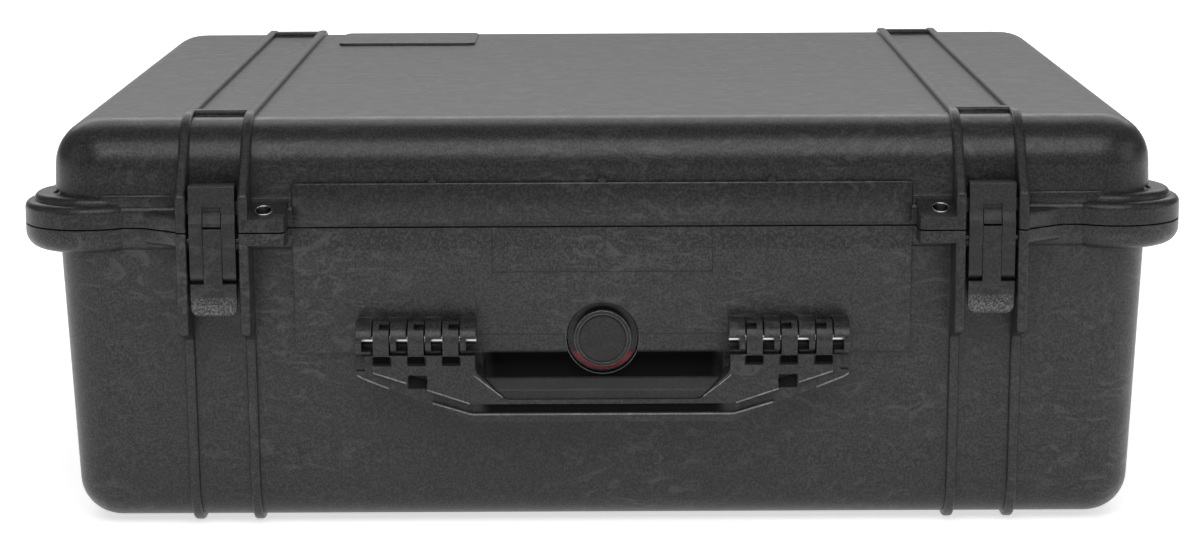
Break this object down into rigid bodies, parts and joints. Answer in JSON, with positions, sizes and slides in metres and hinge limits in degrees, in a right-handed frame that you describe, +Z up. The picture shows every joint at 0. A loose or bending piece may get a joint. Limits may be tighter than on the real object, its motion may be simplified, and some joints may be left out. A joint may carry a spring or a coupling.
{
  "type": "protective case",
  "caption": "Hard moulded case with a hinged lid, double-throw latches, a folding front handle, a pressure valve, stacking ribs and padlock ears.",
  "frame": {"origin": "under the middle of the closed case, on the surface that the base's ribs stand on", "axes": "+X to the right seen from the front, +Y from the front to the hinges, +Z up"},
  "size_m": [0.616, 0.493, 0.224],
  "materials": {
    "shell_plastic": "fine moulded texture with flow marks",
    "latch_plastic": "satin moulded",
    "grip_rubber": "matte",
    "seal_rubber": "matte",
    "pin_steel": "bright drawn",
    "valve_plastic": "satin",
    "ring_red": "satin",
    "membrane": "pressed felt"
  },
  "bodies": {
    "base": {"base_shell": "shell_plastic", "hinge_pin_left": "pin_steel", "hinge_pin_right": "pin_steel", "latch_pivot_pin_left": "pin_steel", "latch_pivot_pin_right": "pin_steel", "handle_pin_left": "pin_steel", "handle_pin_right": "pin_steel", "padlock_bushes_base": "pin_steel", "valve_gasket": "seal_rubber", "valve_ring": "ring_red", "valve_body": "valve_plastic", "valve_cap": "valve_plastic", "valve_membrane": "membrane", "valve_nut": "valve_plastic"},
    "lid": {"lid_shell": "shell_plastic", "lid_seal": "seal_rubber", "padlock_bushes_lid": "pin_steel"},
    "latch_left": {"latch_lever_left": "latch_plastic", "latch_link_pin_left": "pin_steel"},
    "latch_right": {"latch_lever_right": "latch_plastic", "latch_link_pin_right": "pin_steel"},
    "hook_left": {"latch_hook_left": "latch_plastic"},
    "hook_right": {"latch_hook_right": "latch_plastic"},
    "handle": {"handle_frame": "latch_plastic", "handle_grip": "grip_rubber"}
  },
  "joints": [
    {"name": "lid_hinge", "type": "hinge", "parent": "base", "child": "lid", "pos_m": [0, 0.2385, 0.166], "axis": [-1, 0, 0], "range_deg": [0, 105]},
    {"name": "latch_left_throw", "type": "hinge", "parent": "base", "child": "latch_left", "pos_m": [-0.203, -0.241, 0.1614], "axis": [-1, 0, 0], "range_deg": [0, 85]},
    {"name": "latch_right_throw", "type": "hinge", "parent": "base", "child": "latch_right", "pos_m": [0.203, -0.241, 0.1614], "axis": [-1, 0, 0], "range_deg": [0, 85]},
    {"name": "hook_left_swing", "type": "hinge", "parent": "latch_left", "child": "hook_left", "pos_m": [-0.203, -0.2404, 0.1448], "axis": [-1, 0, 0], "range_deg": [-90, 0]},
    {"name": "hook_right_swing", "type": "hinge", "parent": "latch_right", "child": "hook_right", "pos_m": [0.203, -0.2404, 0.1448], "axis": [-1, 0, 0], "range_deg": [-90, 0]},
    {"name": "handle_swing", "type": "hinge", "parent": "base", "child": "handle", "pos_m": [0, -0.237, 0.1075], "axis": [-1, 0, 0], "range_deg": [0, 90]}
  ],
  "couplings": [
    {"joint": "hook_left_swing", "follows": "latch_left_throw", "ratio": -1.05},
    {"joint": "hook_right_swing", "follows": "latch_right_throw", "ratio": -1.05}
  ]
}
